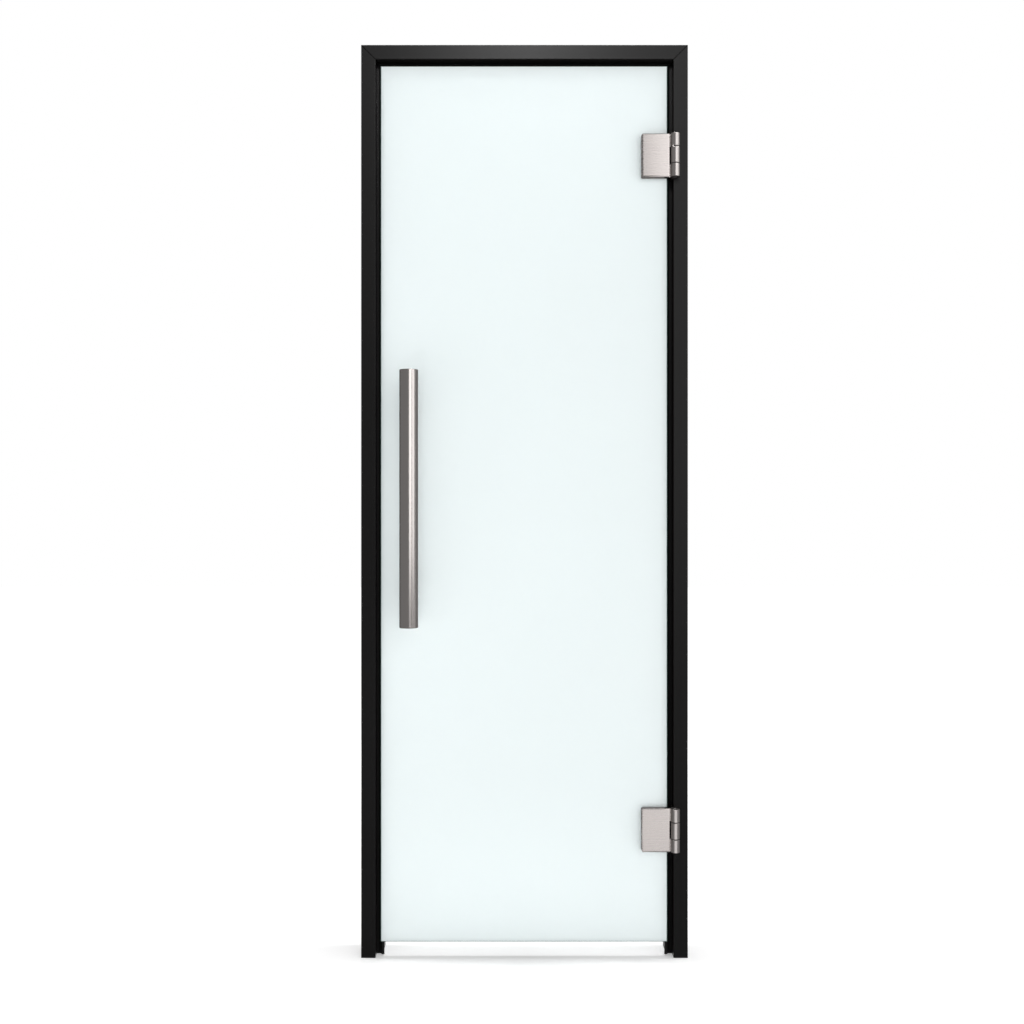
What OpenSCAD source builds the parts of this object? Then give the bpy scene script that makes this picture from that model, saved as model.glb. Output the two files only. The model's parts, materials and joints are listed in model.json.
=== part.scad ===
// Satin glass door leaf on two barrel hinges in a three-sided hollow aluminium frame.
// Origin: on the floor, half way between the jambs, on the middle plane of the glass.
// X runs towards the hinges, Y towards the back of the door, Z up.

/* [Frame] */
// Outer width of the frame
frame_w = 680; // [560:5:1000]
// Outer height of the frame
frame_h = 1900; // [1600:10:2300]
// Depth of the frame, front to back
frame_depth = 75; // [64:1:110]
// Width of the front face
face_w = 30; // [26:1:45]
// Depth of the reveal, from the front face back to the stop
reveal_depth = 26; // [25:1:32]
// Height of the stop above the reveal
stop_rise = 13; // [12:0.5:18]
// Wall of the hollow profile
profile_wall = 2; // [1.5:0.1:2.6]
// Radius of the profile's outer edges
edge_radius = 1.2; // [0.5:0.1:2]
// Hairline left at each mitre
mitre_gap = 0.2; // [0.1:0.1:0.5]

/* [Corner keys and feet] */
// Length of each leg of a corner key, from the frame's outer corner
key_leg = 85; // [60:1:110]
// Wall of the corner key
key_wall = 6; // [4:0.5:8]
// Distance of the key screws from the ends of the legs
key_screw_end = 19; // [12:1:24]
// Diameter of the key screws
key_screw_d = 5; // [4:0.5:6]
// Thickness of the foot plate under each jamb
foot_t = 2.5; // [2:0.5:5]
// Length of the lugs that hold a foot in its jamb
foot_lug = 14; // [10:1:25]

/* [Wall fixings] */
// Fixing holes in each jamb
fixing_count = 4; // [2:1:6]
// Height of the lowest hole, and drop of the highest
fixing_end = 150; // [110:5:170]
// Clearance hole in the outer wall
fixing_d = 6.5; // [5:0.5:7]
// Access hole in the inner wall
access_d = 14; // [12:0.5:16]
// Thickness of the cover cap's head
cap_t = 1.4; // [1:0.1:2]
// Width of the cover cap's rim around its hole
cap_rim = 1.8; // [1:0.1:3]
// Wall of the cover cap's spigot
cap_wall = 1.2; // [0.8:0.1:2]
// Reach of that spigot past the jamb's wall
cap_spigot = 3; // [2:0.5:6]

/* [Seals] */
// Throat of the seal groove
groove_throat = 3; // [2.5:0.1:3.5]
// Width of the groove behind its throat
groove_w = 7; // [6:0.1:8]
// Depth of the groove behind the stop's wall
groove_d = 4; // [3:0.1:5]
// Middle of the groove, from the reveal
groove_at = 7.5; // [6.5:0.1:8]
// How far the seal's lip reaches past the stop
lip_reach = 4; // [3:0.1:6]
// Width of the lip's face
lip_w = 4.6; // [3.5:0.1:5.5]
// Depth of the lip at its free edge
lip_d = 3.4; // [2.5:0.1:4]
// Corner cut on the lip
lip_cut = 0.8; // [0.3:0.1:1]
// Height of the seal's base on the stop
seal_base = 1.4; // [1:0.1:2]
// Inset of the seal's base from the stop's edge
seal_inset = 0.6; // [0.3:0.1:1]
// Thickness of the seal's anchor
anchor_t = 2; // [1.5:0.1:2.5]
// Thickness of the seal's skin
seal_skin = 1.2; // [0.8:0.1:1.3]
// Clearance of the seal in its groove and at the glass
seal_gap = 0.3; // [0.2:0.1:0.5]

/* [Glass] */
// Thickness of the glass
glass_t = 8; // [6:1:10]
// Distance of the glass behind the front face
glass_recess = 5; // [4:0.5:6]
// Gap at the handle side
gap_strike = 10; // [8:0.5:11]
// Gap at the hinge side
gap_hinge = 12; // [10:0.5:13]
// Gap under the head
gap_head = 12; // [8:0.5:13]
// Gap above the floor
gap_floor = 32; // [8:1:60]
// Width of the ground arris on the glass edges
arris = 1.5; // [0.5:0.1:2]

/* [Hinges] */
// Height of a hinge
hinge_h = 90; // [80:1:120]
// Centre of the lower hinge above the floor
hinge_low_z = 268; // [200:1:400]
// Centre of the upper hinge below the frame's top
hinge_top_drop = 232.5; // [160:0.5:400]
// Diameter of the barrel
barrel_d = 18.5; // [16:0.1:23]
// Hinge axis, from the reveal towards the frame's outer side
axis_inset = 2.5; // [1:0.5:4]
// Clearance between the barrel and the front face
barrel_clear = 0.75; // [0.5:0.05:3]
// Height of the middle knuckle
knuckle_mid = 33.6; // [25:0.1:45]
// Thickness of the washers between knuckles
washer_t = 1; // [0.5:0.1:2]
// Gap above and below each washer
washer_gap = 0.1; // [0.1:0.05:0.3]
// Diameter of the hinge pin
pin_d = 8; // [6:0.5:10]
// Radial clearance of the pin in the knuckles
pin_clear = 0.05; // [0.02:0.01:0.08]
// Width of the plate on the glass
plate_w = 57.5; // [50:0.5:75]
// Thickness of the front plate
plate_t = 14; // [12:0.5:14]
// Thickness of the back plate
back_t = 6; // [5:0.5:9]
// Gap between the barrel and the plates
plate_gap = 2.5; // [2:0.1:4]
// Corner radius of the plates
plate_r = 2.5; // [1:0.1:6]
// Width of the bevel around the plates
bevel_w = 3.6; // [2:0.1:6]
// Depth of that bevel
bevel_d = 1.1; // [0.5:0.1:2]
// Clearance between the seal's lip and the back plate
back_clear = 3; // [2:0.5:8]
// Thickness of the gaskets between plates and glass
gasket_t = 1; // [0.5:0.1:2]
// Inset of the gaskets behind the plate edges
gasket_inset = 1; // [0.5:0.1:3]
// Diameter of the clamp screws
clamp_screw_d = 6; // [5:0.5:8]
// Spacing of the two clamp screws
clamp_pitch = 48; // [40:1:60]
// Depth of the clamp screws' holes in the front plate
clamp_depth = 9.5; // [6:0.5:10]
// Room past the tips of the clamp screws
tip_room = 1; // [0.5:0.5:2]
// Hole in the glass for a clamp screw
glass_hole_d = 16; // [12:0.5:20]
// Thickness of the frame leaf
leaf_t = 4; // [3:0.5:5]
// Clearance of the frame leaf behind the front face
leaf_clear = 0.6; // [0.3:0.1:2]
// Clearance of the frame leaf in front of the stop
leaf_margin = 1.4; // [0.5:0.1:4]
// Diameter of the leaf screws
leaf_screw_d = 5; // [4:0.5:6]
// Spacing of the leaf screws
leaf_screw_pitch = 30; // [24:1:38]
// Thickness of the backing plate inside the jamb
backing_t = 4; // [3:0.5:6]
// Inset of the backing plate from the ends of its chamber
backing_inset = 1.5; // [0.5:0.5:4]
// Chamfer on the ends of the knuckles
knuckle_chamfer = 0.7; // [0.3:0.1:1.5]
// Depth of the pin's ends inside the outer knuckles
pin_sunk = 0.6; // [0:0.1:2]
// Chamfer on the ends of the pin
pin_chamfer = 0.5; // [0.2:0.1:1]
// Inset of the washers from the barrel's surface
washer_inset = 0.75; // [0.3:0.05:2]
// Inset of the knuckles' webs behind the plate's bevel
web_inset = 4; // [0.2:0.1:4.5]
// How far the webs run into what they join
web_bite = 0.5; // [0.2:0.1:1]

/* [Handles] */
// Diameter of the handle bars
bar_d = 38; // [25:0.5:40]
// Wall of the handle bars
bar_wall = 3; // [2:0.5:4]
// Length of a bar over its end caps
bar_len = 525; // [300:5:900]
// Height of the bars' middle above the floor
bar_mid_z = 955; // [800:5:1100]
// Bar axis, from the frame's outer side at the handle side
bar_in = 104; // [95:1:160]
// Bar axis to the surface of the glass
bar_out = 60; // [50:1:80]
// Distance between the stand-off posts
post_pitch = 350; // [200:5:700]
// Diameter of the posts
post_d = 18; // [14:0.5:24]
// Diameter of the through studs
stud_d = 8; // [6:0.5:10]
// Reach of the studs past the wall of each bar
stud_reach = 4; // [2:1:8]
// Hole in the glass for a stud
stud_hole_d = 14; // [12:0.5:18]
// Thickness of the washers between posts and glass
post_washer_t = 1; // [0.5:0.1:2]
// How far those washers stand out around the posts
post_washer_rim = 0.5; // [0:0.1:2]
// Thickness of an end cap outside the tube
bar_cap_t = 3; // [2:0.5:6]
// Edge radius of an end cap
bar_cap_r = 1.2; // [0.4:0.1:2]
// Length of an end cap's spigot
bar_spigot = 8; // [5:1:15]

/* [Fits] */
// Radial clearance of screws, studs, sleeves and spigots
fit = 0.15; // [0.05:0.05:0.3]
// Clearance of pieces that slide into the hollow profile
slip = 0.3; // [0.1:0.1:0.5]
// Reach of the frame's screws past what they hold
screw_reach = 2; // [1:0.5:4]
// Width of a screw's hex recess, as a share of the screw's diameter
hex_across = 0.6; // [0.4:0.05:0.7]
// Depth of that recess, as a share of the screw's diameter
hex_depth = 0.35; // [0.2:0.05:0.4]

/* [Hidden] */
$fn = 96;
eps = 0.01;
over = 1; // how far a cut runs past what it cuts
through = 120; // longer than the door is thick
big = 4000; // longer than the door is wide or high

frame_black = [0.05, 0.05, 0.05];
seal_black = [0.02, 0.02, 0.02];
steel = [0.78, 0.75, 0.73];
steel_dark = [0.55, 0.55, 0.56];
alu = [0.75, 0.76, 0.78];
satin_glass = [0.86, 0.94, 0.94, 0.7];
clear_plastic = [0.9, 0.9, 0.9];

// The profile is drawn with u from the frame's outer side inwards and v from the front face back.
stop_w = face_w + stop_rise;
groove_u = face_w + groove_at;
groove_v = reveal_depth + profile_wall;
front_y = -(glass_t / 2 + glass_recess);
axis_in = face_w - axis_inset;
axis_out = barrel_d / 2 + barrel_clear;
fixing_v = (groove_v + frame_depth - profile_wall) / 2 + groove_d / 2;
fixing_step = (frame_h - 2 * fixing_end) / (fixing_count - 1);
key_screw_at = key_leg - key_screw_end;
key_screw_len = profile_wall + slip + key_wall + screw_reach;
key_y = front_y + groove_v + groove_d + profile_wall + slip;
key_depth = frame_depth - profile_wall - slip - groove_v - groove_d - profile_wall - slip;

glass_w = frame_w - 2 * face_w - gap_strike - gap_hinge;
glass_x = -frame_w / 2 + face_w + gap_strike;
glass_top = frame_h - face_w - gap_head;

axis_x = frame_w / 2 - axis_in;
axis_y = front_y - axis_out;
upper_z = frame_h - hinge_top_drop;
lower_z = hinge_low_z;
knuckle_end = (hinge_h - knuckle_mid) / 2 - washer_t - 2 * washer_gap;

// Places in a hinge: x from the axis towards the leaf, y back from the axis, z from the hinge's middle.
plate_x = barrel_d / 2 + plate_gap;
plate_end = plate_x + plate_w;
glass_edge_x = face_w + gap_hinge - axis_in;
back_at = stop_w + lip_reach + back_clear - axis_in;
glass_front = axis_out + glass_recess;
glass_back = glass_front + glass_t;
front_plate_y = glass_front - gasket_t - plate_t;
back_plate_y = glass_back + gasket_t;
web_y = max(0, front_plate_y) + bevel_d + web_inset;
clamp_grip = back_t + 2 * gasket_t + glass_t;
clamp_x = (max(back_at, glass_edge_x) + plate_end) / 2;
reveal_x = face_w - axis_in;
leaf_y = axis_out + leaf_clear;
leaf_w = reveal_depth - leaf_clear - leaf_margin;
leaf_screw_y = leaf_y + leaf_w / 2;

bar_x = -frame_w / 2 + bar_in;
post_len = bar_out - post_washer_t;

// Frame

// A rectangle with rounded corners, from one corner
module soft_rect(w, h, r) {
    translate([r, 0]) square([w - 2 * r, h]);
    translate([0, r]) square([w, h - 2 * r]);
    for (x = [r, w - r], y = [r, h - r]) translate([x, y]) circle(r, $fn = 32);
}

// Section of the frame: a front chamber, a deeper chamber that makes the stop, and the seal groove
module profile() {
    difference() {
        union() {
            soft_rect(face_w, frame_depth, edge_radius);
            translate([0, reveal_depth]) soft_rect(stop_w, frame_depth - reveal_depth, edge_radius);
        }
        translate([profile_wall, profile_wall])
            square([face_w - 2 * profile_wall, reveal_depth - profile_wall]);
        difference() {
            translate([profile_wall, groove_v])
                square([stop_w - 2 * profile_wall, frame_depth - profile_wall - groove_v]);
            translate([groove_u - groove_w / 2 - profile_wall, groove_v - eps])
                square([groove_w + 2 * profile_wall + stop_rise, groove_d + profile_wall + eps]);
        }
        translate([groove_u - groove_w / 2, groove_v]) square([groove_w, groove_d]);
        translate([groove_u - groove_throat / 2, reveal_depth - over])
            square([groove_throat, profile_wall + over + eps]);
    }
}

// A section swept up the strike side and cut on the mitre
module strike_length(from_z) {
    intersection() {
        translate([-frame_w / 2, front_y, from_z]) linear_extrude(frame_h - from_z) children();
        rotate([90, 0, 0]) linear_extrude(big, center = true)
            polygon([[-frame_w / 2 - over, from_z - over], [0, from_z - over],
                     [0, frame_h - frame_w / 2 - mitre_gap],
                     [-frame_w / 2 - over, frame_h + over - mitre_gap]]);
    }
}

// A section swept along the head and cut on both mitres
module head_length() {
    intersection() {
        translate([-frame_w / 2, front_y, frame_h]) rotate([90, 0, 90])
            mirror([0, 1]) rotate(90) mirror([0, 1]) linear_extrude(frame_w) children();
        rotate([90, 0, 0]) linear_extrude(big, center = true)
            polygon([[-frame_w / 2 - over, frame_h + over], [0, frame_h - frame_w / 2],
                     [frame_w / 2 + over, frame_h + over]]);
    }
}

// Puts children at each wall fixing of the strike side, along X from the outer side inwards
module at_fixings() {
    for (i = [0 : fixing_count - 1])
        translate([-frame_w / 2, front_y + fixing_v, fixing_end + i * fixing_step])
            rotate([0, 90, 0]) children();
}

module strike_side() {
    difference() {
        strike_length(foot_t) profile();
        at_fixings() {
            translate([0, 0, -over]) cylinder(d = fixing_d, h = stop_w / 2);
            translate([0, 0, stop_w / 2]) cylinder(d = access_d, h = stop_w);
        }
        key_screw_hole(-frame_w / 2, frame_h - key_screw_at, 0);
    }
}

// A countersunk screw along Z from its tip up, with its head's top at z = 0
module countersunk(d, len) {
    translate([0, 0, -len]) cylinder(d = d, h = len - d / 2 + eps);
    translate([0, 0, -d / 2]) cylinder(d1 = d, d2 = 2 * d, h = d / 2);
}

// The hole for that screw, open past its head
module countersunk_hole(d, len) {
    translate([0, 0, -len]) cylinder(d = d + 2 * fit, h = len + over);
    translate([0, 0, -d / 2]) cylinder(d1 = d + 2 * fit, d2 = 2 * d + 2 * fit, h = d / 2 + eps);
    cylinder(d = 2 * d + 2 * fit, h = over);
}

// That screw with a hex recess in its head
module hex_screw(d, len) {
    difference() {
        countersunk(d, len);
        translate([0, 0, -hex_depth * d]) cylinder(d = hex_across * d / cos(30), h = d, $fn = 6);
    }
}

// Puts children at a key screw: turn is 0 on a jamb and 90 on the head, and z points out of the frame
module at_key_screw(x, z, turn) {
    translate([x, key_y + key_depth / 2, z]) rotate([0, -90 + turn, 0]) children();
}

module key_screw_hole(x, z, turn) {
    at_key_screw(x, z, turn) countersunk_hole(key_screw_d, stop_w / 2);
}

module strike_jamb() color(frame_black) strike_side();

module hinge_jamb() color(frame_black)
    difference() {
        mirror([1, 0, 0]) strike_side();
        for (z = [lower_z, upper_z]) at_leaf_screws(z)
            translate([0, 0, -leaf_t - profile_wall - over])
                cylinder(d = leaf_screw_d + 2 * fit, h = profile_wall + 2 * over);
    }

module frame_head() color(frame_black)
    difference() {
        head_length() profile();
        for (s = [-1, 1]) key_screw_hole(s * (frame_w / 2 - key_screw_at), frame_h, 90);
    }

// An L of rectangular tube, cut from a corner extrusion, inside the rear chamber of the mitre
module corner_key(side) color(alu)
    mirror([side > 0 ? 1 : 0, 0, 0]) {
        o = profile_wall + slip;
        w = stop_w - 2 * o;
        difference() {
            translate([-frame_w / 2, key_y + key_depth, frame_h]) rotate([90, 0, 0]) linear_extrude(key_depth)
                difference() {
                    union() {
                        translate([o, -o - w]) square([key_leg - o, w]);
                        translate([o, -key_leg]) square([w, key_leg - o]);
                    }
                    translate([o + key_wall, -o - w + key_wall]) square([w - 2 * key_wall, w - 2 * key_wall]);
                    translate([o + w + key_wall, -o - w + key_wall])
                        square([key_leg - o - w - 2 * key_wall, w - 2 * key_wall]);
                    translate([o + key_wall, -key_leg + key_wall])
                        square([w - 2 * key_wall, key_leg - o - w - 2 * key_wall]);
                }
            key_screw_bore(-frame_w / 2, frame_h - key_screw_at, 0);
            key_screw_bore(-frame_w / 2 + key_screw_at, frame_h, 90);
        }
    }

module key_screw_bore(x, z, turn) {
    at_key_screw(x, z, turn) {
        translate([0, 0, -stop_w / 2]) cylinder(d = key_screw_d + 2 * fit, h = stop_w / 2);
        translate([0, 0, -key_screw_d / 2])
            cylinder(d1 = key_screw_d + 2 * fit, d2 = 2 * key_screw_d + 2 * fit, h = key_screw_d / 2 + eps);
    }
}

module strike_corner_key() corner_key(-1);
module hinge_corner_key() corner_key(1);

module key_screw(x, z, turn) {
    at_key_screw(x, z, turn) hex_screw(key_screw_d, key_screw_len);
}

module corner_key_screws() color(steel_dark)
    for (s = [0, 1]) mirror([s, 0, 0]) {
        key_screw(-frame_w / 2, frame_h - key_screw_at, 0);
        key_screw(-frame_w / 2 + key_screw_at, frame_h, 90);
    }

// A foot: a plate with the outline of the profile, and two hollow lugs up into its chambers
module foot_lug_section(x, y, w, d) {
    translate([x + slip, y + slip]) difference() {
        square([w - 2 * slip, d - 2 * slip]);
        translate([profile_wall, profile_wall])
            square([w - 2 * slip - 2 * profile_wall, d - 2 * slip - 2 * profile_wall]);
    }
}

module foot() color(seal_black)
    translate([-frame_w / 2, front_y, 0]) {
        linear_extrude(foot_t) {
            soft_rect(face_w, frame_depth, edge_radius);
            translate([0, reveal_depth]) soft_rect(stop_w, frame_depth - reveal_depth, edge_radius);
        }
        linear_extrude(foot_t + foot_lug) {
            foot_lug_section(profile_wall, profile_wall,
                             face_w - 2 * profile_wall, reveal_depth - profile_wall);
            foot_lug_section(profile_wall, groove_v + groove_d + profile_wall, stop_w - 2 * profile_wall,
                             frame_depth - 2 * profile_wall - groove_v - groove_d);
        }
    }

module strike_foot() foot();
module hinge_foot() mirror([1, 0, 0]) foot();

// Cover caps over the access holes: a thin head and a hollow spigot
module fixing_caps() color(seal_black)
    for (s = [0, 1]) mirror([s, 0, 0]) at_fixings() translate([0, 0, stop_w]) {
        cylinder(d = access_d + 2 * cap_rim, h = cap_t);
        translate([0, 0, -profile_wall - cap_spigot]) difference() {
            cylinder(d = access_d - 2 * fit, h = profile_wall + cap_spigot + eps);
            translate([0, 0, -over])
                cylinder(d = access_d - 2 * fit - 2 * cap_wall, h = profile_wall + cap_spigot + over);
        }
    }

// Seals

// Section of the seal: an anchor in the groove, a neck, and a hollow lip that leans in behind the glass
module seal_section() {
    tip_v = glass_recess + glass_t + seal_gap;
    tip_u = stop_w + lip_reach;
    base_v = reveal_depth;
    base_l = groove_u - groove_throat / 2 - seal_base / 2;
    base_r = stop_w - seal_inset;
    difference() {
        polygon([[base_l, base_v], [base_l, base_v - seal_base], [tip_u - lip_w, tip_v + lip_cut],
                 [tip_u - lip_w + lip_cut, tip_v], [tip_u - lip_cut, tip_v], [tip_u, tip_v + lip_cut],
                 [tip_u, tip_v + lip_d], [base_r, base_v - seal_base / 2], [base_r, base_v]]);
        polygon([[base_l + seal_skin + seal_gap, base_v - seal_skin],
                 [tip_u - lip_w + seal_skin, tip_v + seal_skin],
                 [tip_u - seal_skin, tip_v + seal_skin],
                 [tip_u - seal_skin, tip_v + lip_d - seal_gap],
                 [base_r - seal_skin, base_v - seal_skin]]);
    }
    translate([groove_u - groove_throat / 2 + seal_gap, base_v - eps])
        square([groove_throat - 2 * seal_gap, profile_wall + seal_gap + anchor_t / 2]);
    translate([groove_u - groove_w / 2 + seal_gap, groove_v + seal_gap])
        square([groove_w - 2 * seal_gap, anchor_t]);
}

module strike_seal() color(seal_black) strike_length(foot_t + mitre_gap) seal_section();
module hinge_seal() color(seal_black) mirror([1, 0, 0]) strike_length(foot_t + mitre_gap) seal_section();
module head_seal() color(seal_black) head_length() seal_section();

// Hinges

// Puts children at a hinge: x from the axis towards the leaf, y towards the back, z from the middle
module at_hinge(z) {
    translate([axis_x, axis_y, z]) mirror([1, 0, 0]) children();
}

// Puts children at each leaf screw of a hinge, with z out of the leaf's surface
module at_leaf_screws(z) {
    at_hinge(z) for (k = [-1, 0, 1])
        translate([reveal_x + leaf_t, leaf_screw_y, k * leaf_screw_pitch]) rotate([0, 90, 0]) children();
}

// Puts children at each clamp screw of a hinge, with z towards the back, from the back plate's surface
module at_clamp_screws(z) {
    at_hinge(z) for (k = [-1, 1])
        translate([clamp_x, back_plate_y + back_t, k * clamp_pitch / 2]) rotate([-90, 0, 0]) children();
}

// A length of barrel with softened ends
module knuckle(h) {
    c = knuckle_chamfer;
    rotate_extrude() polygon([[pin_d / 2 + pin_clear, 0], [barrel_d / 2 - c, 0], [barrel_d / 2, c],
                              [barrel_d / 2, h - c], [barrel_d / 2 - c, h], [pin_d / 2 + pin_clear, h]]);
}

// A slab with rounded corners in x and z and a bevel around its face; the face looks to -y
module bevelled_plate(w, h, t) {
    intersection() {
        translate([0, t, -h / 2]) rotate([90, 0, 0]) linear_extrude(t) soft_rect(w, h, plate_r);
        translate([0, 0, -h / 2]) linear_extrude(h)
            polygon([[0, bevel_d], [bevel_w, 0], [w - bevel_w, 0], [w, bevel_d], [w, t], [0, t]]);
        rotate([90, 0, 90]) linear_extrude(w)
            polygon([[bevel_d, -h / 2], [0, -h / 2 + bevel_w], [0, h / 2 - bevel_w], [bevel_d, h / 2],
                     [t, h / 2], [t, -h / 2]]);
    }
}

// Front plate with the two outer knuckles and the webs that carry them
module front_plate(z) color(steel)
    difference() {
        at_hinge(z) {
            translate([plate_x, front_plate_y, 0]) bevelled_plate(plate_w, hinge_h, plate_t);
            for (s = [0, 1]) mirror([0, 0, s]) translate([0, 0, hinge_h / 2 - knuckle_end]) {
                knuckle(knuckle_end);
                difference() {
                    translate([0, web_y, knuckle_chamfer])
                        cube([plate_x + web_bite, barrel_d / 2 - web_y, knuckle_end - 2 * knuckle_chamfer]);
                    cylinder(d = barrel_d - 2 * web_bite, h = knuckle_end);
                }
            }
        }
        at_clamp_screws(z)
            translate([0, 0, -clamp_grip - clamp_depth])
                cylinder(d = clamp_screw_d + 2 * fit, h = clamp_depth + over);
    }

module back_plate(z) color(steel)
    difference() {
        at_hinge(z) translate([back_at, back_plate_y + back_t, 0]) mirror([0, 1, 0])
            bevelled_plate(plate_end - back_at, hinge_h, back_t);
        at_clamp_screws(z) countersunk_hole(clamp_screw_d, back_t + over);
    }

module gasket(z, x, y) color(seal_black)
    difference() {
        at_hinge(z) translate([x + gasket_inset, y, -hinge_h / 2 + gasket_inset])
            cube([plate_end - x - 2 * gasket_inset, gasket_t, hinge_h - 2 * gasket_inset]);
        at_clamp_screws(z) cylinder(d = clamp_screw_d + 2 * fit, h = through, center = true);
    }

module clamp_screws(z) color(steel_dark)
    at_clamp_screws(z) hex_screw(clamp_screw_d, clamp_grip + clamp_depth - tip_room);

module glass_sleeves(z) color(clear_plastic)
    at_clamp_screws(z) translate([0, 0, -back_t - gasket_t - glass_t])
        difference() {
            cylinder(d = glass_hole_d - 2 * fit, h = glass_t);
            translate([0, 0, -over]) cylinder(d = clamp_screw_d + 2 * fit, h = glass_t + 2 * over);
        }

// Leaf on the reveal, with the middle knuckle on a web in front of it
module frame_leaf(z) color(steel)
    difference() {
        at_hinge(z) {
            translate([0, 0, -knuckle_mid / 2]) knuckle(knuckle_mid);
            difference() {
                translate([reveal_x, 0, -knuckle_mid / 2 + knuckle_chamfer])
                    cube([leaf_t, leaf_y + web_bite, knuckle_mid - 2 * knuckle_chamfer]);
                cylinder(d = barrel_d - 2 * web_bite, h = knuckle_mid, center = true);
            }
            translate([reveal_x, leaf_y, -hinge_h / 2]) cube([leaf_t, leaf_w, hinge_h]);
        }
        at_leaf_screws(z) countersunk_hole(leaf_screw_d, leaf_t + over);
    }

module backing_plate(z) color(steel_dark)
    difference() {
        at_hinge(z) translate([reveal_x - profile_wall - backing_t, axis_out + profile_wall + backing_inset,
                               -hinge_h / 2])
            cube([backing_t, reveal_depth - profile_wall - 2 * backing_inset, hinge_h]);
        at_leaf_screws(z) translate([0, 0, -leaf_t - profile_wall - backing_t - over])
            cylinder(d = leaf_screw_d + 2 * fit, h = backing_t + 2 * over);
    }

module leaf_screws(z) color(steel_dark)
    at_leaf_screws(z) hex_screw(leaf_screw_d, leaf_t + profile_wall + backing_t + screw_reach);

module pin(z) color(steel_dark)
    at_hinge(z) translate([0, 0, -hinge_h / 2 + pin_sunk]) {
        h = hinge_h - 2 * pin_sunk;
        c = pin_chamfer;
        rotate_extrude() polygon([[0, 0], [pin_d / 2 - c, 0], [pin_d / 2, c], [pin_d / 2, h - c],
                                  [pin_d / 2 - c, h], [0, h]]);
    }

module washers(z) color(seal_black)
    at_hinge(z) for (s = [0, 1]) mirror([0, 0, s]) translate([0, 0, knuckle_mid / 2 + washer_gap])
        difference() {
            cylinder(d = barrel_d - 2 * washer_inset, h = washer_t);
            translate([0, 0, -over]) cylinder(d = pin_d + 2 * fit, h = washer_t + 2 * over);
        }

module upper_frame_leaf() frame_leaf(upper_z);
module upper_backing_plate() backing_plate(upper_z);
module upper_leaf_screws() leaf_screws(upper_z);
module upper_pin() pin(upper_z);
module upper_washers() washers(upper_z);
module upper_front_plate() front_plate(upper_z);
module upper_back_plate() back_plate(upper_z);
module upper_front_gasket() gasket(upper_z, glass_edge_x, glass_front - gasket_t);
module upper_back_gasket() gasket(upper_z, back_at, glass_back);
module upper_clamp_screws() clamp_screws(upper_z);
module upper_glass_sleeves() glass_sleeves(upper_z);

module lower_frame_leaf() frame_leaf(lower_z);
module lower_backing_plate() backing_plate(lower_z);
module lower_leaf_screws() leaf_screws(lower_z);
module lower_pin() pin(lower_z);
module lower_washers() washers(lower_z);
module lower_front_plate() front_plate(lower_z);
module lower_back_plate() back_plate(lower_z);
module lower_front_gasket() gasket(lower_z, glass_edge_x, glass_front - gasket_t);
module lower_back_gasket() gasket(lower_z, back_at, glass_back);
module lower_clamp_screws() clamp_screws(lower_z);
module lower_glass_sleeves() glass_sleeves(lower_z);

// Glass

// Outline of a slab's section with its four corners ground off
module arrised(w, t) {
    polygon([[arris, 0], [w - arris, 0], [w, arris], [w, t - arris], [w - arris, t], [arris, t],
             [0, t - arris], [0, arris]]);
}

module glass_pane() color(satin_glass)
    difference() {
        intersection() {
            translate([glass_x, -glass_t / 2, gap_floor])
                linear_extrude(glass_top - gap_floor) arrised(glass_w, glass_t);
            translate([glass_x, -glass_t / 2, gap_floor]) rotate([0, 90, 0]) mirror([1, 0, 0])
                linear_extrude(glass_w) arrised(glass_top - gap_floor, glass_t);
        }
        for (z = [lower_z, upper_z])
            at_clamp_screws(z) cylinder(d = glass_hole_d, h = through, center = true);
        at_posts() cylinder(d = stud_hole_d, h = 2 * glass_t, center = true);
    }

// Handles

// Puts children at each stud, with z along +y from the glass's middle plane
module at_posts() {
    for (k = [-1, 1]) translate([bar_x, 0, bar_mid_z + k * post_pitch / 2]) rotate([-90, 0, 0]) children();
}

// Draws the outer half of the handle, or the same half on the other face
module handle_side(inner) {
    mirror([0, inner ? 1 : 0, 0]) children();
}

module bar_axis() {
    translate([bar_x, -glass_t / 2 - bar_out, bar_mid_z]) children();
}

module handle_bar(inner) color(steel)
    handle_side(inner) difference() {
        bar_axis() cylinder(d = bar_d, h = bar_len - 2 * bar_cap_t, center = true);
        bar_axis() cylinder(d = bar_d - 2 * bar_wall, h = bar_len, center = true);
        at_posts() translate([0, 0, -glass_t / 2 - bar_out]) cylinder(d = stud_d + 2 * fit, h = bar_d);
    }

module handle_caps(inner) color(steel)
    handle_side(inner) bar_axis() for (s = [0, 1]) mirror([0, 0, s])
        translate([0, 0, bar_len / 2 - bar_cap_t]) rotate_extrude() {
            r = bar_d / 2;
            polygon(concat([[0, -bar_spigot], [r - bar_wall - fit, -bar_spigot],
                            [r - bar_wall - fit, 0], [r, 0]],
                           [for (a = [0 : 15 : 90]) [r - bar_cap_r + bar_cap_r * cos(a),
                                                     bar_cap_t - bar_cap_r + bar_cap_r * sin(a)]],
                           [[0, bar_cap_t]]));
        }

module handle_posts(inner) color(steel)
    handle_side(inner) difference() {
        at_posts() translate([0, 0, -glass_t / 2 - bar_out]) cylinder(d = post_d, h = post_len);
        at_posts() cylinder(d = stud_d + 2 * fit, h = through + 2 * bar_out, center = true);
        bar_axis() cylinder(r = bar_d / 2 + fit, h = bar_len, center = true);
    }

module outer_handle_bar() handle_bar(false);
module outer_handle_caps() handle_caps(false);
module outer_handle_posts() handle_posts(false);
module inner_handle_bar() handle_bar(true);
module inner_handle_caps() handle_caps(true);
module inner_handle_posts() handle_posts(true);

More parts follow.
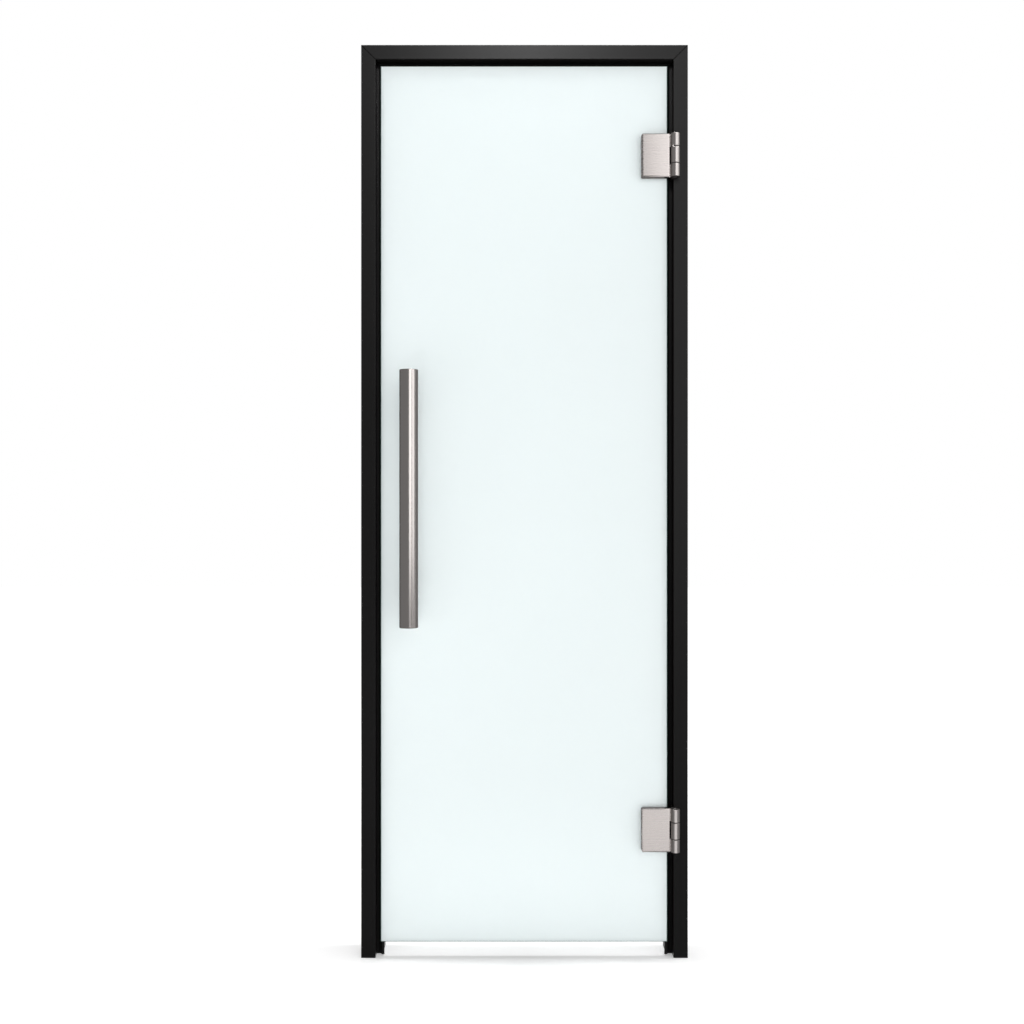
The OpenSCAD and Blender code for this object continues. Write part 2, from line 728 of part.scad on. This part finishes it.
// Studs that run from inside one bar to inside the other
module handle_studs() color(steel_dark)
    at_posts() cylinder(d = stud_d, center = true,
                        h = glass_t + 2 * (bar_out - bar_d / 2 + bar_wall + stud_reach));

module handle_washers() color(seal_black)
    for (inner = [false, true])
        handle_side(inner) at_posts() translate([0, 0, -glass_t / 2 - post_washer_t]) difference() {
            cylinder(d = post_d + 2 * post_washer_rim, h = post_washer_t);
            translate([0, 0, -over]) cylinder(d = stud_d + 2 * fit, h = post_washer_t + 2 * over);
        }

module handle_sleeves() color(clear_plastic)
    at_posts() difference() {
        cylinder(d = stud_hole_d - 2 * fit, h = glass_t, center = true);
        cylinder(d = stud_d + 2 * fit, h = 2 * glass_t, center = true);
    }

strike_jamb();
hinge_jamb();
frame_head();
strike_corner_key();
hinge_corner_key();
corner_key_screws();
strike_foot();
hinge_foot();
fixing_caps();
strike_seal();
hinge_seal();
head_seal();
upper_frame_leaf();
upper_backing_plate();
upper_leaf_screws();
upper_pin();
upper_washers();
lower_frame_leaf();
lower_backing_plate();
lower_leaf_screws();
lower_pin();
lower_washers();
glass_pane();
upper_front_plate();
upper_back_plate();
upper_front_gasket();
upper_back_gasket();
upper_clamp_screws();
upper_glass_sleeves();
lower_front_plate();
lower_back_plate();
lower_front_gasket();
lower_back_gasket();
lower_clamp_screws();
lower_glass_sleeves();
outer_handle_bar();
outer_handle_caps();
outer_handle_posts();
inner_handle_bar();
inner_handle_caps();
inner_handle_posts();
handle_studs();
handle_washers();
handle_sleeves();
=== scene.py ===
import json
import math

import bmesh
import bpy
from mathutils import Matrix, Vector


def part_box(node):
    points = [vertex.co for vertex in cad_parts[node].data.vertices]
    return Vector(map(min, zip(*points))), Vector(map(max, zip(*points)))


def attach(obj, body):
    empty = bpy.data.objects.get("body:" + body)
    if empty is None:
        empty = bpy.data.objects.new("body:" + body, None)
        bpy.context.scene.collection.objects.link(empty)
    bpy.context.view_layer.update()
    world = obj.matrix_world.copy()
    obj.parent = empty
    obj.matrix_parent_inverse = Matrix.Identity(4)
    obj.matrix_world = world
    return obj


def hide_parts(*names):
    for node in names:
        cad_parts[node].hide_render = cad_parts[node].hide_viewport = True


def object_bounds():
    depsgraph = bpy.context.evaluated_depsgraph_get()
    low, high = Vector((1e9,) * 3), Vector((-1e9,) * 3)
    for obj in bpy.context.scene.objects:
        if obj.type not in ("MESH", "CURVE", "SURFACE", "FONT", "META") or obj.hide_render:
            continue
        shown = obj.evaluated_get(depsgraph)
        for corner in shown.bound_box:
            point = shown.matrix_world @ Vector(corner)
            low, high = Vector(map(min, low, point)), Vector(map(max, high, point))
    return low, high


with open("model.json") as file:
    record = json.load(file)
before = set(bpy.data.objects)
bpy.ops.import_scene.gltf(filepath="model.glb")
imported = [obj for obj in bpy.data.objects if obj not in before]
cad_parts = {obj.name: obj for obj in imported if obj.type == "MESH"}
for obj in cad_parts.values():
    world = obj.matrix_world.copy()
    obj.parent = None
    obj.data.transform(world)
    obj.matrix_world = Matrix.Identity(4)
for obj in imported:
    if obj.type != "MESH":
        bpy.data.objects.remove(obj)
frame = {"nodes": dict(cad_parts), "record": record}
cadBounds = [list(corner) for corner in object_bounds()]
nodes = frame["nodes"]
record = frame["record"]
bodyOf = {}
for body, members in record["behaviour"]["bodies"].items():
    for member in members:
        bodyOf[member] = body
slotOf = {row["node"]: row["material_slot"] for row in record["subparts"]}
mm = 0.001
print("frame loaded:", len(nodes), "pieces")


class Wire:  # a shader socket that sums can be written with
    def __init__(self, tree, socket):
        self.tree = tree
        self.socket = socket

    def sum(self, operation, other, swapped=False):
        maths = self.tree.nodes.new("ShaderNodeMath")
        maths.operation = operation
        pair = (other, self) if swapped else (self, other)
        for slot, value in zip(maths.inputs, pair):
            if isinstance(value, Wire):
                self.tree.links.new(value.socket, slot)
            else:
                slot.default_value = value
        return Wire(self.tree, maths.outputs[0])

    def __add__(self, other):
        return self.sum("ADD", other)

    def __sub__(self, other):
        return self.sum("SUBTRACT", other)

    def __rsub__(self, other):
        return self.sum("SUBTRACT", other, True)

    def __mul__(self, other):
        return self.sum("MULTIPLY", other)

    def size(self):  # without its sign
        return self.sum("ABSOLUTE", 0.0)

    __radd__ = __add__
    __rmul__ = __mul__


class Finish:  # a material, or the world, and the nodes in it
    def __init__(self, owner):
        self.owner = owner
        self.owner.use_nodes = True
        self.tree = self.owner.node_tree
        self.tree.nodes.clear()

    def node(self, kind, settings=None, inputs=None, output=0):
        made = self.tree.nodes.new(kind)
        for key, value in (settings or {}).items():
            setattr(made, key, value)
        for key, value in (inputs or {}).items():
            if isinstance(value, Wire):
                self.tree.links.new(value.socket, made.inputs[key])
            else:
                made.inputs[key].default_value = value
        return Wire(self.tree, made.outputs[output]) if made.outputs else None

    def place(self, scale=(1, 1, 1)):  # object coordinates, stretched
        coords = self.node("ShaderNodeTexCoord", output="Object")
        return self.node("ShaderNodeMapping", inputs={"Vector": coords, "Scale": scale})

    def noise(self, scale, detail=3, roughness=0.5, stretch=(1, 1, 1)):
        return self.node("ShaderNodeTexNoise", inputs={
            "Vector": self.place(stretch),
            "Scale": scale,
            "Detail": detail,
            "Roughness": roughness,
        })

    def blend(self, factor, low, high):  # colours mixed by a factor
        colours = {"A": low, "B": high}
        made = self.node("ShaderNodeMix", {"data_type": "RGBA"}, {0: factor}).socket.node
        for socket in made.inputs:
            if socket.type == "RGBA" and isinstance(colours[socket.name], Wire):
                self.tree.links.new(colours[socket.name].socket, socket)
            elif socket.type == "RGBA":
                socket.default_value = colours[socket.name]
        return Wire(self.tree, next(socket for socket in made.outputs if socket.type == "RGBA"))

    def bump(self, height, strength, distance):
        return self.node("ShaderNodeBump", inputs={
            "Height": height,
            "Strength": strength,
            "Distance": distance,
        })

    def surface(self, settings):  # the main shader of a material
        shader = self.node("ShaderNodeBsdfPrincipled", inputs=settings)
        self.node("ShaderNodeOutputMaterial", inputs={"Surface": shader})
        return self.owner


def newFinish(name):
    return Finish(bpy.data.materials.new(name))


def rgb(red, green, blue):
    return (red, green, blue, 1)


framePaint = {
    "colour": rgb(0.0054, 0.0051, 0.0051),
    "cloudy": rgb(0.0074, 0.0071, 0.0071),
    "roughness": 0.34,
    "specular": 0.17,
    "grain": 1300,
    "peel": 160,
    # painted shade: a near-black line along each mitre joint stands in for the shaded hairline gap
    # there
    "paintedMitreGapShade": rgb(0.0005, 0.0005, 0.0005),
    "mitreRoughness": 0.5,  # added to the paint's own
    "mitreShade": 1.1 * mm,  # reach of the painted shade beside each mitre
}


def makeFramePaint():
    f = newFinish("framePaint")
    clouds = f.noise(3.0, 2)
    grain = f.noise(framePaint["grain"], 2)
    peel = f.noise(framePaint["peel"], 2)
    corner = Vector(cadBounds[1])
    spot = f.node("ShaderNodeSeparateXYZ", inputs={"Vector": f.place()}).socket.node.outputs
    across = corner.x - Wire(f.tree, spot["X"]).size()  # from the nearer outer side
    down = corner.z - Wire(f.tree, spot["Z"])
    # painted shade: a thin line along each mitre, given near-black colour for the shaded gap and a
    # rougher finish
    mitre = f.node("ShaderNodeMath", {"operation": "LESS_THAN"},
                   {0: (across - down).size(), 1: framePaint["mitreShade"]})
    paint = f.blend(clouds, framePaint["colour"], framePaint["cloudy"])
    uneven = 0.08 * (grain - 0.5) + 0.06 * (clouds - 0.5)
    return f.surface({
        "Base Color": f.blend(mitre, paint, framePaint["paintedMitreGapShade"]),
        "Roughness": framePaint["roughness"] + uneven + framePaint["mitreRoughness"] * mitre,
        "Specular IOR Level": framePaint["specular"],
        "Normal": f.bump(grain * 0.6 + peel * 0.4, 0.15, 0.00005),
    })


satin = {
    "colour": rgb(0.815, 0.878, 0.882),
    "cloudy": rgb(0.828, 0.887, 0.891),
    "roughness": 0.5,
    "transmission": 0.35,
    "ior": 1.5,
    "grain": 1700,
}
polishedEdge = {
    "colour": rgb(0.05, 0.085, 0.08),
    "cloudy": rgb(0.08, 0.13, 0.12),
    "roughness": 0.12,
    "transmission": 0.15,
    "ior": 1.5,
    "grind": 900,
}


def makeSatinGlass():
    f = newFinish("satinGlass")
    clouds = f.noise(2.2, 2)
    grain = f.noise(satin["grain"], 2)
    return f.surface({
        "Base Color": f.blend(clouds, satin["colour"], satin["cloudy"]),
        "Roughness": satin["roughness"] + 0.05 * (grain - 0.5),
        "IOR": satin["ior"],
        "Transmission Weight": satin["transmission"],
        "Normal": f.bump(grain, 0.06, 0.00002),
    })


def makeGlassEdge():  # the ground and polished edge, seen along the pane
    f = newFinish("polishedGlassEdge")
    grind = f.noise(polishedEdge["grind"], 2, 0.5, (1, 1, 0.2))
    return f.surface({
        "Base Color": f.blend(f.noise(14, 2), polishedEdge["colour"], polishedEdge["cloudy"]),
        "Roughness": polishedEdge["roughness"] + 0.08 * grind,
        "IOR": polishedEdge["ior"],
        "Transmission Weight": polishedEdge["transmission"],
    })


steel = {  # darkest and lightest colour, roughness, and how the brushing is stretched
    "satinNickel": (rgb(0.52, 0.478, 0.462), rgb(0.60, 0.558, 0.542), 0.27, (0.02, 0.3, 1)),
    "turnedBarrel": (rgb(0.55, 0.51, 0.495), rgb(0.60, 0.56, 0.545), 0.31, (0.04, 0.04, 1)),
    "brushedBar": (rgb(0.59, 0.55, 0.53), rgb(0.65, 0.61, 0.59), 0.20, (1, 1, 0.012)),
    "fastenerSteel": (rgb(0.46, 0.46, 0.46), rgb(0.56, 0.56, 0.56), 0.35, (1, 1, 1)),
    "millAluminium": (rgb(0.46, 0.46, 0.46), rgb(0.56, 0.56, 0.56), 0.35, (1, 1, 0.05)),
}


def makeBrushedMetal(name):
    darkest, lightest, roughness, stretch = steel[name]
    f = newFinish(name)
    brushing = f.noise(700, 4, 0.6, stretch)
    streaks = f.noise(160, 3, 0.6, stretch)
    clouds = f.noise(9.0, 2)
    tone = brushing * 0.45 + streaks * 0.3 + clouds * 0.25
    return f.surface({
        "Base Color": f.blend(tone, darkest, lightest),
        "Metallic": 1.0,
        "Roughness": roughness + 0.12 * (brushing - 0.5) + 0.06 * (streaks - 0.5),
        "Normal": f.bump(brushing, 0.12, 0.00002),
    })


moulded = {  # darkest and lightest colour, roughness, fineness of the grain
    "sealRubber": (rgb(0.005, 0.005, 0.005), rgb(0.010, 0.010, 0.010), 0.62, 500),
    "gasketRubber": (rgb(0.005, 0.005, 0.005), rgb(0.010, 0.010, 0.010), 0.62, 500),
    "blackPlastic": (rgb(0.010, 0.010, 0.010), rgb(0.015, 0.015, 0.015), 0.48, 900),
}


def makeMoulded(name):
    darkest, lightest, roughness, fineness = moulded[name]
    f = newFinish(name)
    grain = f.noise(fineness)
    return f.surface({
        "Base Color": f.blend(grain, darkest, lightest),
        "Roughness": roughness + 0.15 * (grain - 0.5),
        "Specular IOR Level": 0.35,
        "Normal": f.bump(grain, 0.15, 0.00005),
    })


nylon = {
    "colour": rgb(0.74, 0.74, 0.70),
    "cloudy": rgb(0.82, 0.82, 0.79),
    "roughness": 0.42,
    "milkiness": 0.1,
    "grain": 300,
}


def makeNylon():
    f = newFinish("naturalNylon")
    grain = f.noise(nylon["grain"])
    return f.surface({
        "Base Color": f.blend(grain, nylon["colour"], nylon["cloudy"]),
        "Roughness": nylon["roughness"] + 0.1 * (grain - 0.5),
        "Subsurface Weight": nylon["milkiness"],
        "Normal": f.bump(grain, 0.08, 0.00004),
    })


finishes = {
    "frame_black": makeFramePaint(),
    "raw_aluminium": makeBrushedMetal("millAluminium"),
    "satin_glass": makeSatinGlass(),
    "seal_rubber": makeMoulded("sealRubber"),
    "gasket_rubber": makeMoulded("gasketRubber"),
    "black_plastic": makeMoulded("blackPlastic"),
    "clear_nylon": makeNylon(),
    "fastener_steel": makeBrushedMetal("fastenerSteel"),
    "satin_hinge": makeBrushedMetal("satinNickel"),
    "brushed_bar": makeBrushedMetal("brushedBar"),
    "turned_barrel": makeBrushedMetal("turnedBarrel"),
    "glass_edge": makeGlassEdge(),
}
for name, node in nodes.items():
    if not node.material_slots:
        node.data.materials.append(None)
    for slot in node.material_slots:
        slot.material = finishes[slotOf[name]]
print("finishes made:", len(finishes))


# node: edge radius asked for and its steps, for the softened copy that stands for it
# (a piece with very short edges gets a much smaller radius, front plates and bars almost none)
fine = {
    "upper_front_plate": (0.35, 3), "lower_front_plate": (0.35, 3),
    "upper_frame_leaf": (0.3, 2), "lower_frame_leaf": (0.3, 2),
    "upper_back_plate": (0.35, 3), "lower_back_plate": (0.35, 3),
    "upper_washers": (0.12, 2), "lower_washers": (0.12, 2),
    "outer_handle_bar": (0.25, 2), "inner_handle_bar": (0.25, 2),
    "handle_washers": (0.2, 2), "fixing_caps": (0.35, 3),
    "upper_clamp_screws": (0.12, 2), "lower_clamp_screws": (0.12, 2),
    "upper_leaf_screws": (0.12, 2), "lower_leaf_screws": (0.12, 2),
    "corner_key_screws": (0.12, 2),
    "strike_foot": (0.3, 2), "hinge_foot": (0.3, 2),
}
crease = math.radians(30)  # edges sharper than this are softened
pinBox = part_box("upper_pin")
hingeAxis = (Vector(pinBox[0]) + Vector(pinBox[1])) / 2
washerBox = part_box("upper_washers")
pastWasher = 1.2 * mm  # the barrel is a little wider than its washers
barrelReach = (washerBox[1][0] - washerBox[0][0]) / 2 + pastWasher


def mergedCopy(name):  # a node's triangles joined up into whole faces
    bm = bmesh.new()
    bm.from_mesh(nodes[name].data)
    bmesh.ops.remove_doubles(bm, verts=bm.verts, dist=0.001 * mm)
    bmesh.ops.dissolve_limit(bm, angle_limit=math.radians(0.2), verts=bm.verts, edges=bm.edges)
    return bm


def addPiece(bm, name, materials):
    mesh = bpy.data.meshes.new(name)
    bm.to_mesh(mesh)
    bm.free()
    mesh.shade_smooth()
    mesh.set_sharp_from_angle(angle=crease)
    for material in materials:
        mesh.materials.append(material)
    piece = bpy.data.objects.new(name, mesh)
    bpy.context.scene.collection.objects.link(piece)
    weighted = piece.modifiers.new("flatFaces", "WEIGHTED_NORMAL")
    weighted.keep_sharp = True
    return piece


def standFor(piece, name):
    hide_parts(name)
    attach(piece, bodyOf[name])


def softenEdges(name):
    width, steps = fine[name]
    bm = mergedCopy(name)
    edges = [edge for edge in bm.edges if edge.is_manifold and edge.calc_face_angle(0) > crease]
    bmesh.ops.bevel(bm, geom=edges, offset=width * mm, offset_type="OFFSET", segments=steps,
                    profile=0.5, affect="EDGES", material=-1, clamp_overlap=True)
    materials = [finishes[slotOf[name]]]
    if name.endswith(("front_plate", "frame_leaf")):
        materials.append(finishes["turned_barrel"])
        for face in bm.faces:
            away = face.calc_center_median() - hingeAxis
            face.material_index = 1 if math.hypot(away.x, away.y) < barrelReach else 0
    standFor(addPiece(bm, name + "_fine", materials), name)


paneFlat = 0.99  # a face that looks this straight to the front or back is etched


def makePane():  # etched faces, polished edges and holes
    bm = mergedCopy("glass_pane")
    for face in bm.faces:
        face.material_index = 0 if abs(face.normal.y) > paneFlat else 1
    pane = addPiece(bm, "satin_pane", [finishes["satin_glass"], finishes["glass_edge"]])
    pane.visible_glossy = False  # keeps the steel's edges dark against it
    standFor(pane, "glass_pane")
    return pane


for name in fine:
    softenEdges(name)
pane = makePane()
print("softened pieces:", len(fine) + 1)


room = {
    "around": 0.22,  # what mirrors see of the room
    "floor": 12.0,
    "floorColour": rgb(0.90, 0.90, 0.90),
    "floorCloudy": rgb(0.92, 0.92, 0.92),
    "floorRoughness": 0.8,
    "floorGlow": (rgb(1, 1, 1), rgb(0.23, 0.23, 0.23)),  # the floor's own light, far and near
    "glowSpread": (0.45, 0.45, 0.45),
    # softboxes: size, place, where they aim, brightness
    "keyLeft": ((4.1, 6.0), (2.65, -6.4, 3.3), (0.0, 0.0, 1.6), 1.58),
    "keyRight": ((4.2, 6.0), (6.06, -3.5, 3.3), (0.0, 0.0, 1.6), 1.30),
    "overhead": ((2.6, 0.16), (0.0, -0.02, 3.2), (0.0, -0.02, 0.0), 34.0),
    "floorStrip": ((2.6, 0.12), (0.0, 0.06, 3.2), (0.0, 0.06, 0.0), 86.0),
    "sideFill": ((1.6, 2.6), (3.1, 0.2, 1.3), (0.0, 0.0, 0.95), 0.34),
    "backGlow": ((1.5, 2.6), (0.0, 2.2, 1.4), (0.0, 0.0, 1.15), 0.95),
    "headLight": ((0.2, 0.24), (0.0, -2.0, 2.74), (0.03, 0.0, 1.85), 84.0),
    "paneTop": ((0.8, 0.1), (0.0, -0.3, 1.97), (0.0, 0.0, 1.85), 1.1),
    "paneFoot": ((0.8, 0.1), (0.0, -0.3, 0.08), (0.0, 0.0, 0.05), 1.0),
    "paneLeft": ((0.2, 1.8), (-0.75, -0.5, 0.95), (-0.28, 0.0, 0.95), 1.1),
    "lowPlate": ((0.5, 0.3), (0.33, -0.42, 0.17), (0.28, -0.02, 0.27), 0.88),
    "rear": ((11.0, 8.0), (0.0, 5.0, 1.7), (0.0, 0.0, 1.1), 0.95),
    "innerLeft": ((3.6, 8.0), (-3.6, -5.2, 1.3), (0.0, 0.0, 1.1), 1.1),
}


def makeFloor():
    f = newFinish("paleFloor")
    clouds = f.noise(0.6, 2)
    near = f.node("ShaderNodeTexGradient", {"gradient_type": "SPHERICAL"},
                  {"Vector": f.place(room["glowSpread"])})
    paint = f.surface({
        "Base Color": f.blend(clouds, room["floorColour"], room["floorCloudy"]),
        "Roughness": room["floorRoughness"],
        "Specular IOR Level": 0.1,
        "Emission Color": f.blend(near, *room["floorGlow"]),
        "Emission Strength": 1.0,
    })
    mesh = bpy.data.meshes.new("floor")
    bm = bmesh.new()
    bmesh.ops.create_grid(bm, x_segments=2, y_segments=2, size=room["floor"])
    bm.to_mesh(mesh)
    bm.free()
    floor = bpy.data.objects.new("floor", mesh)
    floor.data.materials.append(paint)
    floor.visible_glossy = False
    bpy.context.scene.collection.objects.link(floor)
    return floor


def makeSoftbox(name):  # brightness is what a mirror would show of the box
    size, place, aim, brightness = room[name]
    lamp = bpy.data.lights.new(name, "AREA")
    lamp.shape = "RECTANGLE"
    lamp.size, lamp.size_y = size
    lamp.energy = brightness * math.pi * size[0] * size[1]
    box = bpy.data.objects.new(name, lamp)
    box.location = place
    box.rotation_euler = (Vector(aim) - Vector(place)).to_track_quat("-Z", "Y").to_euler()
    box.visible_camera = False
    bpy.context.scene.collection.objects.link(box)
    return box


def gather(name, members):
    group = bpy.data.collections.new(name)
    for member in members:
        group.objects.link(member)
    return group


def lightOnly(name, lit, shading):  # a softbox that only these pieces see
    box = makeSoftbox(name)
    box.light_linking.receiver_collection = gather(name + "Lit", lit)
    box.light_linking.blocker_collection = gather(name + "Shading", shading)
    return box


def startingWith(*starts):
    return [piece for piece in pieces if piece.name.startswith(starts)]


def makeWorld():  # white to the camera and through the glass, grey to mirrors
    world = bpy.data.worlds.new("paleStudio")
    bpy.context.scene.world = world
    f = Finish(world)
    seen = f.node("ShaderNodeBackground", inputs={"Color": rgb(1, 1, 1), "Strength": 1.0})
    around = f.node("ShaderNodeBackground", inputs={"Color": rgb(1, 1, 1), "Strength": room["around"]})
    straight = f.node("ShaderNodeLightPath", output="Is Camera Ray")
    through = f.node("ShaderNodeLightPath", output="Is Transmission Ray")
    either = f.node("ShaderNodeMath", {"operation": "MAXIMUM"}, {0: straight, 1: through})
    mixed = f.node("ShaderNodeMixShader", inputs={0: either, 1: around, 2: seen})
    f.node("ShaderNodeOutputWorld", inputs={"Surface": mixed})


pieces = [piece for piece in bpy.data.objects if piece.type == "MESH"]
profiles = startingWith("frame_head", "strike_jamb", "hinge_jamb")
headPieces = startingWith("frame_head", "head_seal")
innerSteel = startingWith("inner_", "upper_back_plate", "lower_back_plate")
lowHinge = startingWith("lower_front_plate_fine", "lower_frame_leaf_fine")
floor = makeFloor()
makeWorld()
for name in ("keyLeft", "keyRight", "sideFill"):
    makeSoftbox(name)
makeSoftbox("backGlow").visible_glossy = False
lightOnly("overhead", pieces, pieces)
lightOnly("headLight", profiles, pieces)
lightOnly("floorStrip", [floor], [piece for piece in pieces if piece not in headPieces])
for name in ("paneTop", "paneFoot", "paneLeft"):
    lightOnly(name, [pane], [floor]).visible_transmission = False
lightOnly("lowPlate", lowHinge, lowHinge)
lightOnly("rear", [piece for piece in pieces if piece != pane], pieces)
lightOnly("innerLeft", innerSteel, pieces)

view = {
    "place": (-0.026, -2.459, 0.928),
    "lens": 41.4,
}
camera = bpy.data.objects.new("camera", bpy.data.cameras.new("camera"))
camera.data.lens = view["lens"]
camera.location = view["place"]
camera.rotation_euler = (math.radians(90), 0, 0)
bpy.context.scene.collection.objects.link(camera)
bpy.context.scene.camera = camera
bpy.context.scene.view_settings.view_transform = "Standard"
print("room ready")
